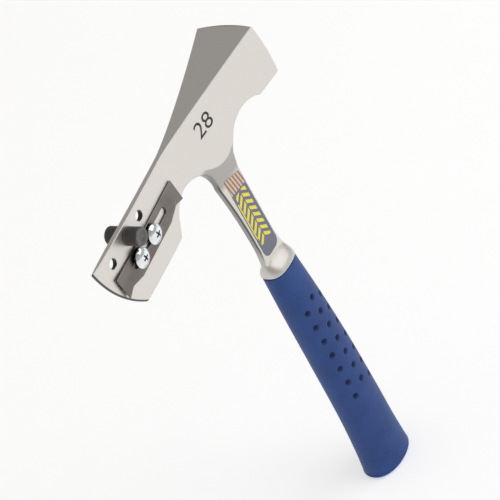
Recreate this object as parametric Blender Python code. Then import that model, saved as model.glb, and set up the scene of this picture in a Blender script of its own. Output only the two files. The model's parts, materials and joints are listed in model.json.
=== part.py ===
"""Roofing hatchet: a one-piece forged hatchet and hammer for laying shingles.

The handle stands along +Z, the striking face looks along +X and the cheek with the cutter looks
along -Y. The origin is the middle of the hand grip, on the handle's axis. Sizes are in metres.

The head lies a little uphill toward its striking face. Places on it are given in the head's own
frame: "along" runs from the handle's axis toward the striking face, "up" is measured square to
the head's top line, and its origin is where the handle's axis meets that line.
"""

import math

import bmesh
import bpy
from mathutils import Vector
from mathutils.geometry import delaunay_2d_cdt

MM = 0.001
GAP = 0.3 * MM  # left between two pieces that touch
EDGE_BREAK = 0.4 * MM  # the small bevel on turned and ground edges

# Handle
GRIP_LENGTH = 186.0 * MM
SHANK_HEIGHT = 142.6 * MM  # top of the grip to the head's top line, along the handle
SHANK_WIDTH = 20.6 * MM
SHANK_THICKNESS = 5.4 * MM
SHANK_EDGE_RADIUS = 1.8 * MM
COLLAR_HEIGHT = 25.0 * MM
COLLAR_WIDTH = 28.6 * MM
COLLAR_THICKNESS = 20.6 * MM
COLLAR_FLAT = 12.0 * MM  # how far the shank's flats run down into the collar
COLLAR_POWER = 2.6  # above 2 the collar's foot is squarer than an ellipse
COLLAR_SINK = 0.6 * MM  # the collar's top ends this far under the shank's flats
FLANK_SINK = 1.2 * MM  # and this far inside the shank's edges
FLANK_INSET = 1.6 * MM  # the shank's plate stands this far inside the collar's foot
TANG_WIDTH = 16.0 * MM
TANG_THICKNESS = 6.0 * MM
TANG_BEVEL = 1.0 * MM
TANG_POWER = 4  # a rounded rectangle
BUTT_WALL = 10.0 * MM  # grip material below the end of the tang
GRIP_RING_STEP = 0.2 * MM  # the grip's top ring stands this proud of the collar

# Head
HEAD_TILT = math.radians(6.6)
POLL_REACH = 63.9 * MM  # handle's axis to the middle of the striking face, along the head
POLL_WIDTH = 44.0 * MM
POLL_DEPTH = 40.0 * MM
BLADE_REACH = 137.3 * MM
BLADE_DEPTH = 51.3 * MM
BLADE_SWEEP = 20.8 * MM  # how far the cutting edge's lower corner stands back
EDGE_BULGE = 4.7 * MM
PLATE_THICKNESS = 3.9 * MM
EDGE_THICKNESS = 0.8 * MM
GRIND_WIDTH = 24.0 * MM
GRIND_POWER = 0.42  # below 1 the blade's taper is convex
FLARE_POWER = 1.25  # above 1 the cheeks are hollow between plate and poll
TOP_SAG = 2.2 * MM
HEAD_EDGE_RADIUS = 0.6 * MM
FRONT_BAY_RADIUS = 22.0 * MM
REAR_BAY_RADIUS = 21.0 * MM
FRONT_BAY_DEPTH = 33.3 * MM  # head's top line to the top of the hollow behind the blade
REAR_BAY_DEPTH = 33.8 * MM
NECK_FRONT = 14.0 * MM  # handle's axis to the neck's front edge, at the hollow
NECK_REAR = 10.0 * MM
SHOULDER_DROP = 63.6 * MM  # head's top line to the top of the shank's flats, on the handle's axis
SHOULDER_SLANT = math.radians(15)  # the flats end higher at the front than at the rear
NECK_POWER = 1.7  # above 1 the neck is hollow where it meets the shank
CHEEK_TONGUE = 8.0 * MM  # how far the flat cheek reaches down onto the neck
TONGUE_HALF_WIDTH = 16.0 * MM
TONGUE_SETBACK = 6.0 * MM  # handle's axis forward to the tongue's middle
EDGE_EASE = 12.0 * MM  # over this the crisp edges of the head turn into the neck's fuller ones
FULL_EDGE_DROP = 26.0 * MM  # head's top line to where the fuller edges may begin
CORNER_RADIUS = 1.2 * MM
TOE_RADIUS = 3.0 * MM  # the cutting edge's lower corner
HEEL_RADIUS = 2.5 * MM
HEEL_ANGLE = math.radians(150)  # where the front hollow's arc runs out into the blade's heel
NECK_ANGLE = math.radians(-9)  # where it runs out into the neck
LIP_RADIUS = 1.6 * MM  # the poll's lower inner corner
FACE_CROWN_ACROSS = 90.0 * MM
FACE_CROWN_UP = 130.0 * MM
FACE_LEAN = math.radians(2.4)  # the striking face looks this much below square to the top line
FACE_CHAMFER = 0.9 * MM
FACE_RIM = 2.6 * MM
WAFFLE_PITCH = 3.6 * MM
WAFFLE_DEPTH = 0.7 * MM
FACE_STOCK = 2.0 * MM  # the poll's blank past the striking face, trimmed off by the face cutter
CUTTER_SPILL = 1.5 * MM  # the face cutter reaches this far past the poll's sides

# Mesh density over the cheeks and the neck
FIRST_ROW = 4.0 * MM  # head's top line down to the first row of inner points
CHEEK_ROW_STEP = 9.0 * MM
NECK_ROW_STEP = 2.6 * MM
COLUMN_STEP = 4.2 * MM
NECK_BAND = 6.0 * MM  # the fine rows run this far past the neck at both ends
CHEEK_MARGIN = 1.5 * MM  # inner points keep this far from the edges
NECK_MARGIN = 0.6 * MM  # and this far from the neck's rounded edges

# Shingle gauge
HOLE_SETBACKS = (16.8 * MM, 38.0 * MM, 53.8 * MM)  # cutting edge's top corner to each gauge hole
HOLE_DEPTH = 9.6 * MM  # head's top line down to the row of gauge holes
HOLE_RADIUS = 3.3 * MM
KNOB_RADIUS = 6.0 * MM
KNOB_LENGTH = 10.2 * MM
KNOB_CHAMFER = 0.8 * MM
KNOB_RIM = 1.8 * MM  # flat rim around the dished end of the knob
DISH_WALL = 1.2 * MM
DISH_DEPTH = 0.8 * MM
STUD_RECESS = 1.0 * MM  # the stud's end inside the nut

# Cutter
CUTTER_LENGTH = 78.0 * MM
CUTTER_END_DEPTH = 17.3 * MM
CUTTER_BELLY_DEPTH = 18.0 * MM
CUTTER_NOTCH_DEPTH = 14.6 * MM
CUTTER_NOTCH_SETBACK = 7.5 * MM
CUTTER_BELLY_SETBACK = 18.4 * MM
BELLY_RADIUS = 5.0 * MM
NOTCH_RADIUS = 2.5 * MM
CUTTER_THICKNESS = 1.0 * MM
CUTTER_TO_KNOB = 1.9 * MM
SLOT_TO_TOP = 7.5 * MM
TRAVEL_OUT = 17.0 * MM
TRAVEL_IN = 5.0 * MM

# Cutter screws
SCREW_RADIUS = 2.4 * MM
SCREW_SPACING = 18.4 * MM
REAR_SCREW_SETBACK = 52.3 * MM  # cutting edge's top corner to the rear screw
SCREW_HEAD_RADIUS = 6.6 * MM
SCREW_HEAD_HEIGHT = 3.4 * MM
SCREW_HEAD_RIM = 0.7 * MM
RECESS_REACH = 2.9 * MM
RECESS_WIDTH = 1.3 * MM
RECESS_DEPTH = 1.9 * MM
RECESS_SPILL = 1.0 * MM  # the recess cutter starts this far above the head
WASHER_RADIUS = 6.1 * MM
WASHER_THICKNESS = 1.3 * MM
WASHER_TEETH = 14
TOOTH_DEPTH = 1.1 * MM

# Shank labels
LABEL_WIDTH = 16.8 * MM
LABEL_THICKNESS = 0.2 * MM
LABEL_END_RADIUS = 5.0 * MM
LABEL_TO_SHOULDER = 0.6 * MM
LABEL_CORNER_RADIUS = 0.5 * MM

# Grip: stations down from its top as (share of the length, width, thickness, shift toward +X)
GRIP_STATIONS = (
    (0.00, COLLAR_WIDTH + 2 * GRIP_RING_STEP, COLLAR_THICKNESS + 2 * GRIP_RING_STEP, 0.0),
    (0.20, 32.4 * MM, 24.2 * MM, 1.2 * MM),
    (0.44, 35.0 * MM, 26.4 * MM, 2.2 * MM),
    (0.70, 36.6 * MM, 27.6 * MM, 2.2 * MM),
    (0.87, 38.6 * MM, 28.6 * MM, 1.2 * MM),
    (1.00, 42.2 * MM, 30.4 * MM, 0.3 * MM),
)
GRIP_EDGE_RADIUS = 3.0 * MM
GRIP_RING_BEVEL = 0.6 * MM
GRIP_POWER = 2.15
DIMPLE_RADIUS = 2.6 * MM
DIMPLE_DEPTH = 1.1 * MM
DIMPLE_PITCH = 13.0 * MM
DIMPLES_PER_ROW = 7
DIMPLE_TOP = 30.2 * MM  # top of the grip to the first dimple of a middle row
SIDE_ROW_ANGLE = math.radians(36.0)

# What follows from the driving sizes
GRIP_TOP = GRIP_LENGTH / 2
GRIP_BUTT = -GRIP_LENGTH / 2
HEAD_TOP = GRIP_TOP + SHANK_HEIGHT
COLLAR_BASE = GRIP_TOP + GAP
COLLAR_TOP = COLLAR_BASE + COLLAR_HEIGHT
PLATE_HALF = PLATE_THICKNESS / 2
SHANK_HALF = SHANK_THICKNESS / 2
POLL_HALF = POLL_WIDTH / 2
STUD_RADIUS = HOLE_RADIUS - GAP
SLOT_HALF_WIDTH = SCREW_RADIUS + GAP
CUTTER_TOP_DEPTH = HOLE_DEPTH + KNOB_RADIUS + CUTTER_TO_KNOB
SLOT_DEPTH = CUTTER_TOP_DEPTH + SLOT_TO_TOP
REAR_SCREW_ALONG = REAR_SCREW_SETBACK - BLADE_REACH
FRONT_SCREW_ALONG = REAR_SCREW_ALONG - SCREW_SPACING
CUTTER_ALONG = (REAR_SCREW_ALONG + FRONT_SCREW_ALONG + TRAVEL_OUT - TRAVEL_IN) / 2
FLARE_START = CUTTER_ALONG + CUTTER_LENGTH / 2 + TRAVEL_IN
CUTTER_BACK = PLATE_HALF + GAP
CUTTER_FRONT = CUTTER_BACK + CUTTER_THICKNESS
WASHER_FRONT = CUTTER_FRONT + GAP + WASHER_THICKNESS
SCREW_SEAT = WASHER_FRONT + GAP
SHOULDER = HEAD_TOP - SHOULDER_DROP


# --- Scene, objects and materials ---------------------------------------------------------------

def clear_scene():
    for thing in list(bpy.data.objects):
        bpy.data.objects.remove(thing, do_unlink=True)


def material(name, colour, roughness, metallic):
    made = bpy.data.materials.new(name)
    made.use_nodes = True
    shader = made.node_tree.nodes["Principled BSDF"]
    shader.inputs["Base Color"].default_value = (*colour, 1.0)
    shader.inputs["Roughness"].default_value = roughness
    shader.inputs["Metallic"].default_value = metallic
    made.diffuse_color = (*colour, 1.0)
    return made


def add_object(name, mesh_builder, finish, parent=None, location=(0, 0, 0), rotation=(0, 0, 0)):
    """Turns a finished bmesh into a named object with smooth round faces and sharp edges."""
    mesh = bpy.data.meshes.new(name)
    bmesh.ops.recalc_face_normals(mesh_builder, faces=mesh_builder.faces)
    mesh_builder.to_mesh(mesh)
    mesh_builder.free()
    mesh.materials.append(finish)
    mesh.shade_smooth()
    mesh.set_sharp_from_angle(angle=math.radians(32))
    thing = bpy.data.objects.new(name, mesh)
    bpy.context.collection.objects.link(thing)
    thing.parent = parent
    thing.location = location
    thing.rotation_euler = rotation
    return thing


def add_empty(name, location, rotation):
    empty = bpy.data.objects.new(name, None)
    bpy.context.collection.objects.link(empty)
    empty.location = location
    empty.rotation_euler = rotation
    return empty


def cut(target, cutter, operation="DIFFERENCE"):
    """Adds a Boolean to target and keeps the cutter as a hidden guide."""
    cutter.hide_render = True
    cutter.display_type = "WIRE"
    boolean = target.modifiers.new(cutter.name, "BOOLEAN")
    boolean.object = cutter
    boolean.operation = operation
    boolean.solver = "EXACT"


# --- Outlines in the X, Z plane -----------------------------------------------------------------

def on_head(along, up):
    """World X and Z of a point given in the head's frame."""
    sine, cosine = math.sin(HEAD_TILT), math.cos(HEAD_TILT)
    return Vector((along * cosine - up * sine, HEAD_TOP + along * sine + up * cosine))


def to_head(point):
    """The head frame's along and up for a world X and Z."""
    sine, cosine = math.sin(HEAD_TILT), math.cos(HEAD_TILT)
    x, z = point[0], point[1] - HEAD_TOP
    return x * cosine + z * sine, -x * sine + z * cosine


def between(low, high, share):
    return low + (high - low) * share


def smooth(share):
    share = min(max(share, 0.0), 1.0)
    return share * share * (3 - 2 * share)


def circle(centre, radius, count):
    turns = [2 * math.pi * index / count for index in range(count)]
    return [Vector((centre[0] + radius * math.cos(t), centre[1] + radius * math.sin(t))) for t in turns]


def arc(centre, radius, start, stop, count):
    """Points on an arc, both ends included; the angles are in radians from +X."""
    angles = [between(start, stop, index / count) for index in range(count + 1)]
    return [Vector((centre[0] + radius * math.cos(t), centre[1] + radius * math.sin(t))) for t in angles]


def bowed(start, stop, bulge, count):
    """Points from start to stop on a shallow arc; a positive bulge lies right of the way."""
    way = stop - start
    side = Vector((way.y, -way.x)).normalized()
    shares = [index / count for index in range(count + 1)]
    return [start + way * share + side * (4 * bulge * share * (1 - share)) for share in shares]


def rounded(corners):
    """An outline from (point, radius) corners, each rounded by an arc of its radius."""
    outline = []
    for index, (point, radius) in enumerate(corners):
        if radius == 0:
            outline.append(point.copy())
            continue
        before = (corners[index - 1][0] - point).normalized()
        after = (corners[(index + 1) % len(corners)][0] - point).normalized()
        half_angle = before.angle(after) / 2
        centre = point + (before + after).normalized() * (radius / math.sin(half_angle))
        reach = radius / math.tan(half_angle)
        first, last = point + before * reach - centre, point + after * reach - centre
        turn = first.angle_signed(last)
        steps = max(2, math.ceil(abs(turn) / math.radians(24)))
        for step in range(steps + 1):
            angle = -turn * step / steps
            sine, cosine = math.sin(angle), math.cos(angle)
            spoke = Vector((first.x * cosine - first.y * sine, first.x * sine + first.y * cosine))
            outline.append(centre + spoke)
    return outline


def signed_area(loop):
    pairs = zip(loop, loop[1:] + loop[:1])
    return sum(a.x * b.y - b.x * a.y for a, b in pairs) / 2


def inside(point, loop):
    """Whether a point lies within a closed outline."""
    crossings = False
    for a, b in zip(loop, loop[1:] + loop[:1]):
        if (a.y > point.y) != (b.y > point.y):
            if point.x < a.x + (point.y - a.y) / (b.y - a.y) * (b.x - a.x):
                crossings = not crossings
    return crossings


def clearance(point, loops):
    """Distance from a point to the nearest corner or edge of any of the outlines."""
    nearest = math.inf
    for loop in loops:
        for a, b in zip(loop, loop[1:] + loop[:1]):
            edge = b - a
            share = min(max((point - a).dot(edge) / edge.length_squared, 0.0), 1.0)
            nearest = min(nearest, (point - a - edge * share).length)
    return nearest


def inset(loop, distances):
    """Moves each corner into the material, which lies left of the outline's direction."""
    moved = []
    for index, point in enumerate(loop):
        before = (point - loop[index - 1]).normalized()
        after = (loop[(index + 1) % len(loop)] - point).normalized()
        normal = Vector((-(before + after).y, (before + after).x)).normalized()
        stretch = 1 / max(normal.dot(Vector((-before.y, before.x))), 0.5)
        moved.append(point + normal * (distances[index] * stretch))
    return moved


# --- Solids -------------------------------------------------------------------------------------

def triangles_between(loops, inner):
    """Fills the region inside the first loop and outside the others, using the inner points too."""
    points, edges = [], []
    for loop in loops:
        first = len(points)
        points.extend(loop)
        count = len(loop)
        edges.extend((first + index, first + (index + 1) % count) for index in range(count))
    points.extend(inner)
    result = delaunay_2d_cdt(points, edges, [], 0, 1e-8)
    places, faces, sources = result[0], result[2], result[3]
    source_of = [source[0] for source in sources]
    kept = []
    for face in faces:
        middle = sum((places[corner] for corner in face), Vector((0, 0))) / len(face)
        if inside(middle, loops[0]) and not any(inside(middle, hole) for hole in loops[1:]):
            kept.append([source_of[corner] for corner in face])
    return kept


def plate(outline, holes, half_thickness, edge_radius, steps=0, inner=(), middle=0.0):
    """A solid plate in the X, Z plane, standing to both sides of the plane Y = middle.

    half_thickness and edge_radius are functions of a point. The edges are rounded in the given
    number of steps; 0 leaves them square.
    """
    loops = [outline if signed_area(outline) > 0 else outline[::-1]]
    loops += [hole if signed_area(hole) < 0 else hole[::-1] for hole in holes]
    built = bmesh.new()
    rims = {-1: [], 1: []}
    flat_loops = []
    for loop in loops:
        radii = [min(edge_radius(point), 0.7 * half_thickness(point)) for point in loop]
        rings = {-1: [], 1: []}
        for step in range(steps + 1):
            turn = math.pi / 2 * step / max(steps, 1)
            shares = (1 - math.cos(turn), 1 - math.sin(turn)) if steps else (0.0, 0.0)
            ring = inset(loop, [radius * shares[0] for radius in radii])
            for side in (-1, 1):
                heights = [half_thickness(p) - radius * shares[1] for p, radius in zip(ring, radii)]
                rings[side].append(
                    [built.verts.new((p.x, middle + side * h, p.y)) for p, h in zip(ring, heights)]
                )
        flat_loops.append(ring)
        chain = rings[-1][::-1] + rings[1]
        for low, high in zip(chain, chain[1:]):
            for index in range(len(loop)):
                following = (index + 1) % len(loop)
                built.faces.new((low[index], low[following], high[following], high[index]))
        for side in (-1, 1):
            rims[side].extend(rings[side][-1])
    faces = triangles_between(flat_loops, list(inner))
    for side in (-1, 1):
        corners = rims[side] + [
            built.verts.new((p.x, middle + side * half_thickness(p), p.y)) for p in inner
        ]
        for face in faces:
            built.faces.new([corners[index] for index in face])
    return built


def lofted(rings):
    """A closed solid through rings of points with equal counts, capped at both ends."""
    built = bmesh.new()
    loops = [[built.verts.new(point) for point in ring] for ring in rings]
    for low, high in zip(loops, loops[1:]):
        for index in range(len(low)):
            following = (index + 1) % len(low)
            built.faces.new((low[index], low[following], high[following], high[index]))
    built.faces.new(loops[0])
    built.faces.new(loops[-1])
    return built


def turned(profile, segments):
    """A solid of revolution about Z from (radius, height) points that start and end on the axis."""
    built = bmesh.new()
    corners = [built.verts.new((radius, 0, height)) for radius, height in profile]
    for low, high in zip(corners, corners[1:]):
        built.edges.new((low, high))
    bmesh.ops.spin(built, geom=built.verts[:] + built.edges[:], cent=(0, 0, 0), axis=(0, 0, 1),
                   angle=2 * math.pi, steps=segments)
    bmesh.ops.remove_doubles(built, verts=built.verts, dist=0.00001)
    return built


def turned_ring(profile, segments):
    """As turned, for a profile that closes on itself away from the axis."""
    built = bmesh.new()
    corners = [built.verts.new((radius, 0, height)) for radius, height in profile]
    for low, high in zip(corners, corners[1:] + corners[:1]):
        built.edges.new((low, high))
    bmesh.ops.spin(built, geom=built.verts[:] + built.edges[:], cent=(0, 0, 0), axis=(0, 0, 1),
                   angle=2 * math.pi, steps=segments)
    bmesh.ops.remove_doubles(built, verts=built.verts, dist=0.00001)
    return built


def oval(centre_x, height, half_width, half_thickness, power, count):
    """A level ring of points on a superellipse; a power of 2 is a true ellipse."""
    ring = []
    for index in range(count):
        turn = 2 * math.pi * index / count
        sine, cosine = math.sin(turn), math.cos(turn)
        x = half_width * math.copysign(abs(cosine) ** (2 / power), cosine)
        y = half_thickness * math.copysign(abs(sine) ** (2 / power), sine)
        ring.append((centre_x + x, y, height))
    return ring


# --- Head, shank and tang: one forging ----------------------------------------------------------

def edge_circle():
    """Centre and radius of the cutting edge's arc, from its two corners and its bulge."""
    top = on_head(-BLADE_REACH, 0)
    low = on_head(BLADE_SWEEP - BLADE_REACH, -BLADE_DEPTH)
    chord = top - low
    radius = (chord.length_squared / 4 + EDGE_BULGE ** 2) / (2 * EDGE_BULGE)
    inward = Vector((chord.y, -chord.x)).normalized()
    return (top + low) / 2 + inward * (radius - EDGE_BULGE), radius


def shoulder(x):
    """Height at which the shank's flats end and the neck begins to thicken."""
    return SHOULDER - x * math.tan(SHOULDER_SLANT)


def forging_half_thickness(point):
    """Half the forging's thickness: plate, grind, flare to the poll, and blend into the shank."""
    along = to_head(point)[0]
    share = max(0.0, (along - FLARE_START) / (POLL_REACH - FLARE_START))
    cheek = between(PLATE_HALF, POLL_HALF, share ** FLARE_POWER)
    centre, radius = edge_circle()
    if (point - centre).x < 0:
        depth = radius - (point - centre).length
        grind = min(max(depth / GRIND_WIDTH, 0.0), 1.0) ** GRIND_POWER
        cheek = min(cheek, between(EDGE_THICKNESS / 2, PLATE_HALF, grind))
    if point.x < -NECK_FRONT - FRONT_BAY_RADIUS:
        return cheek
    tongue = max(0.0, 1 - ((along + TONGUE_SETBACK) / TONGUE_HALF_WIDTH) ** 2)
    blend_top = on_head(along, -POLL_DEPTH - CHEEK_TONGUE * tongue).y
    blend_low = shoulder(point.x)
    rise = min(max((point.y - blend_low) / (blend_top - blend_low), 0.0), 1.0)
    return between(SHANK_HALF, cheek, rise ** NECK_POWER)


def forging_edge_radius(point):
    """Crisp edges on the head, fuller ones on the neck and the shank."""
    behind_front = smooth((point.x + NECK_FRONT) / EDGE_EASE + 1)
    before_rear = smooth((NECK_REAR - point.x) / EDGE_EASE + 1)
    below = smooth((-FULL_EDGE_DROP - to_head(point)[1]) / (EDGE_EASE / 2))
    return between(HEAD_EDGE_RADIUS, SHANK_EDGE_RADIUS, behind_front * before_rear * below)


def collar_size(height):
    """Half width and half thickness of the collar at a height between its base and its top."""
    wide = smooth((height - COLLAR_BASE) / COLLAR_HEIGHT)
    thick = smooth((height - COLLAR_BASE) / (COLLAR_HEIGHT - COLLAR_FLAT))
    return (between(COLLAR_WIDTH / 2, SHANK_WIDTH / 2, wide),
            between(COLLAR_THICKNESS / 2, SHANK_HALF - COLLAR_SINK, thick))


def bay_centre(neck_edge, radius, bay_depth):
    """Centre of a hollow's arc: touching the neck's edge and bay_depth below the top line."""
    x = neck_edge + math.copysign(radius, neck_edge)
    up = -(bay_depth + radius)
    z = HEAD_TOP + (up + x * math.sin(HEAD_TILT)) / math.cos(HEAD_TILT)
    return Vector((x, z))


def forging_outline():
    """Side view of blade, poll, neck and shank, anticlockwise from the poll's lower corner."""
    sharp = 0.0
    blank = POLL_REACH + FACE_STOCK
    corners = [(on_head(blank, -POLL_DEPTH), CORNER_RADIUS)]
    poll_top, edge_top = on_head(blank, 0), on_head(-BLADE_REACH, 0)
    edge_low = on_head(BLADE_SWEEP - BLADE_REACH, -BLADE_DEPTH)
    top = bowed(poll_top, edge_top, -TOP_SAG, 30)
    corners += [(poll_top, CORNER_RADIUS)] + [(point, sharp) for point in top[1:-1]]
    edge = bowed(edge_top, edge_low, EDGE_BULGE, 12)
    corners += [(edge_top, CORNER_RADIUS)] + [(point, sharp) for point in edge[1:-1]]
    corners += [(edge_low, TOE_RADIUS)]

    front = bay_centre(-NECK_FRONT, FRONT_BAY_RADIUS, FRONT_BAY_DEPTH)
    bay = arc(front, FRONT_BAY_RADIUS, HEEL_ANGLE, NECK_ANGLE, 20)
    slope = Vector((-math.sin(HEEL_ANGLE), math.cos(HEEL_ANGLE)))
    arc_up = to_head(bay[0])[1]
    fall = arc_up - to_head(bay[0] + slope)[1]
    heel = bay[0] + slope * ((arc_up + BLADE_DEPTH) / fall)
    low_run = [between(edge_low, heel, share) for share in (0.25, 0.5, 0.75)]
    corners += [(point, sharp) for point in low_run] + [(heel, HEEL_RADIUS)]
    corners += [(point, sharp) for point in bay]

    half = SHANK_WIDTH / 2
    for share in (0.9, 0.8, 0.7, 0.6, 0.45, 0.25, 0.0):
        x = between(-half, bay[-1].x, share * share)
        corners += [(Vector((x, between(COLLAR_TOP, bay[-1].y, share))), sharp)]
    flank = []
    for share in (0.85, 0.7, 0.55, 0.4, 0.25):
        height = between(COLLAR_BASE, COLLAR_TOP, share)
        flank.append(Vector((collar_size(height)[0] - FLANK_INSET * (1 - share), height)))
    corners += [(Vector((-point.x, point.y)), sharp) for point in flank]
    corners += [(point, sharp) for point in reversed(flank)]
    corners += [(Vector((half, COLLAR_TOP)), sharp), (Vector((half, SHOULDER)), sharp)]
    rear = bay_centre(NECK_REAR, REAR_BAY_RADIUS, REAR_BAY_DEPTH)
    along, up = to_head(rear)
    reach = math.sqrt(REAR_BAY_RADIUS ** 2 - (POLL_DEPTH + up) ** 2)
    lip = on_head(along + reach, -POLL_DEPTH)
    lip_angle = math.atan2(lip.y - rear.y, lip.x - rear.x)
    bay = arc(rear, REAR_BAY_RADIUS, math.pi, lip_angle, 18)
    corners += [(point, sharp) for point in bay[:-1]] + [(lip, LIP_RADIUS)]
    return rounded(corners)


def forging_inner_points(outline, holes):
    """Points inside the cheeks where their surface bends: grind, flare and neck."""
    points = []
    centre, radius = edge_circle()
    top, low = on_head(-BLADE_REACH, 0), on_head(BLADE_SWEEP - BLADE_REACH, -BLADE_DEPTH)
    start = math.atan2(top.y - centre.y, top.x - centre.x)
    stop = math.atan2(low.y - centre.y, low.x - centre.x) + 2 * math.pi
    for share in (0.06, 0.17, 0.33, 0.58, 1.0):
        points += arc(centre, radius - share * GRIND_WIDTH, start, stop, 14)
    neck_top, neck_low = -POLL_DEPTH + NECK_BAND, -SHOULDER_DROP - NECK_BAND
    column = FLARE_START
    while column < POLL_REACH:
        row = -FIRST_ROW
        while row > neck_low:
            points.append(on_head(column, row))
            row -= CHEEK_ROW_STEP if row > neck_top else NECK_ROW_STEP
        column += COLUMN_STEP
    loops = [outline] + holes
    kept = []
    for point in points:
        on_cheek = to_head(point)[1] > neck_top
        margin = CHEEK_MARGIN if on_cheek else SHANK_EDGE_RADIUS + NECK_MARGIN
        if inside(point, outline) and clearance(point, loops) > margin:
            kept.append(point)
    return kept


def face_setback(y, up):
    """How far the striking face stands back from its middle at a point: crown and chamfered rim."""
    half_y, half_up = POLL_HALF, POLL_DEPTH / 2
    from_side, from_end = half_y - abs(y), half_up - abs(up)
    crown = y * y / (2 * FACE_CROWN_ACROSS) + up * up / (2 * FACE_CROWN_UP)
    chamfer = max(0.0, FACE_CHAMFER - min(from_side, from_end))
    return crown + chamfer


def waffle_lines(half):
    """Grid lines across one direction of the striking face, with the groove depth share of each."""
    lines = [(-half - CUTTER_SPILL, 0.0), (-half + FACE_CHAMFER, 0.0)]
    cells = int((half - FACE_RIM) * 2 / WAFFLE_PITCH)
    first = -cells * WAFFLE_PITCH / 2
    for cell in range(cells):
        start = first + cell * WAFFLE_PITCH
        lines += [(start, 1.0), (start + 0.3 * WAFFLE_PITCH, 0.0), (start + 0.7 * WAFFLE_PITCH, 0.0)]
    lines += [(-first, 1.0), (half - FACE_CHAMFER, 0.0), (half + CUTTER_SPILL, 0.0)]
    return lines


def face_cutter():
    """A block whose near side is the crowned, milled striking face; it trims the poll's end."""
    across, upward = waffle_lines(POLL_HALF), waffle_lines(POLL_DEPTH / 2)
    flat_y, flat_up = POLL_HALF - FACE_RIM, POLL_DEPTH / 2 - FACE_RIM
    grid = bmesh.new()
    rows = []
    for up, groove_up in upward:
        row = []
        for y, groove_y in across:
            milled = abs(y) < flat_y and abs(up) < flat_up
            groove = WAFFLE_DEPTH * max(groove_y, groove_up) if milled else 0.0
            x = -face_setback(y, up) - groove
            row.append(grid.verts.new((x, y, up)))
        rows.append(row)
    for low, high in zip(rows, rows[1:]):
        for index in range(len(low) - 1):
            grid.faces.new((low[index], low[index + 1], high[index + 1], high[index]))
    rim = [edge for edge in grid.edges if edge.is_boundary]
    sides = bmesh.ops.extrude_edge_only(grid, edges=rim)
    outer = [part for part in sides["geom"] if isinstance(part, bmesh.types.BMVert)]
    for corner in outer:
        corner.co.x = 4 * FACE_STOCK
    bmesh.ops.contextual_create(grid, geom=[e for e in grid.edges if e.is_boundary])
    return grid


def collar_and_tang():
    """The collar above the grip and the tang inside it, as one loft from the bottom up."""
    count, steps = 40, 12
    bottom = GRIP_BUTT + BUTT_WALL
    tang = (TANG_WIDTH / 2, TANG_THICKNESS / 2)
    tip = (tang[0] - TANG_BEVEL, tang[1] - TANG_BEVEL)
    rings = [oval(0, bottom, *tip, TANG_POWER, count)]
    rings.append(oval(0, bottom + TANG_BEVEL, *tang, TANG_POWER, count))
    rings.append(oval(0, COLLAR_BASE, *tang, TANG_POWER, count))
    foot = (COLLAR_WIDTH / 2 - EDGE_BREAK, COLLAR_THICKNESS / 2 - EDGE_BREAK)
    rings.append(oval(0, COLLAR_BASE, *foot, COLLAR_POWER, count))
    for step in range(steps + 1):
        share = step / steps
        height = between(COLLAR_BASE + EDGE_BREAK, COLLAR_TOP, share)
        half_width, half_thickness = collar_size(height)
        sink = FLANK_SINK * share
        rings.append(oval(0, height, half_width - sink, half_thickness, COLLAR_POWER, count))
    return lofted(rings)


def build_forging(head_frame, guide):
    steel = material("forged_steel", (0.74, 0.72, 0.69), 0.32, 1.0)
    outline = forging_outline()
    holes = [circle(on_head(setback - BLADE_REACH, -HOLE_DEPTH), HOLE_RADIUS, 28)
             for setback in HOLE_SETBACKS]
    holes += [circle(on_head(along, -SLOT_DEPTH), SLOT_HALF_WIDTH, 24)
              for along in (FRONT_SCREW_ALONG, REAR_SCREW_ALONG)]
    inner = forging_inner_points(outline, holes)
    body = plate(outline, holes, forging_half_thickness, forging_edge_radius, 3, inner)
    forging = add_object("head_forging", body, steel)
    trim = add_object("striking_face_cutter", face_cutter(), guide, head_frame,
                      (POLL_REACH, 0, -POLL_DEPTH / 2), (0, FACE_LEAN, 0))
    cut(forging, trim)
    lower = add_object("collar_and_tang_guide", collar_and_tang(), guide)
    cut(forging, lower, "UNION")


# --- Grip ---------------------------------------------------------------------------------------

def grip_size(share):
    """Half width, half thickness and shift of the grip at a share of its length from the top."""
    stations = GRIP_STATIONS
    for upper, lower in zip(stations, stations[1:]):
        if share <= lower[0] + 1e-9:
            ease = (share - upper[0]) / (lower[0] - upper[0])
            break
    before = stations[max(stations.index(upper) - 1, 0)]
    after = stations[min(stations.index(lower) + 1, len(stations) - 1)]
    sizes = []
    for part in (1, 2, 3):
        slope_in = (lower[part] - before[part]) / (lower[0] - before[0])
        slope_out = (after[part] - upper[part]) / (after[0] - upper[0])
        span = lower[0] - upper[0]
        square, cube = ease * ease, ease ** 3
        sizes.append(
            (2 * cube - 3 * square + 1) * upper[part]
            + (cube - 2 * square + ease) * slope_in * span
            + (3 * square - 2 * cube) * lower[part]
            + (cube - square) * slope_out * span
        )
    return sizes[0] / 2, sizes[1] / 2, sizes[2]


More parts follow.
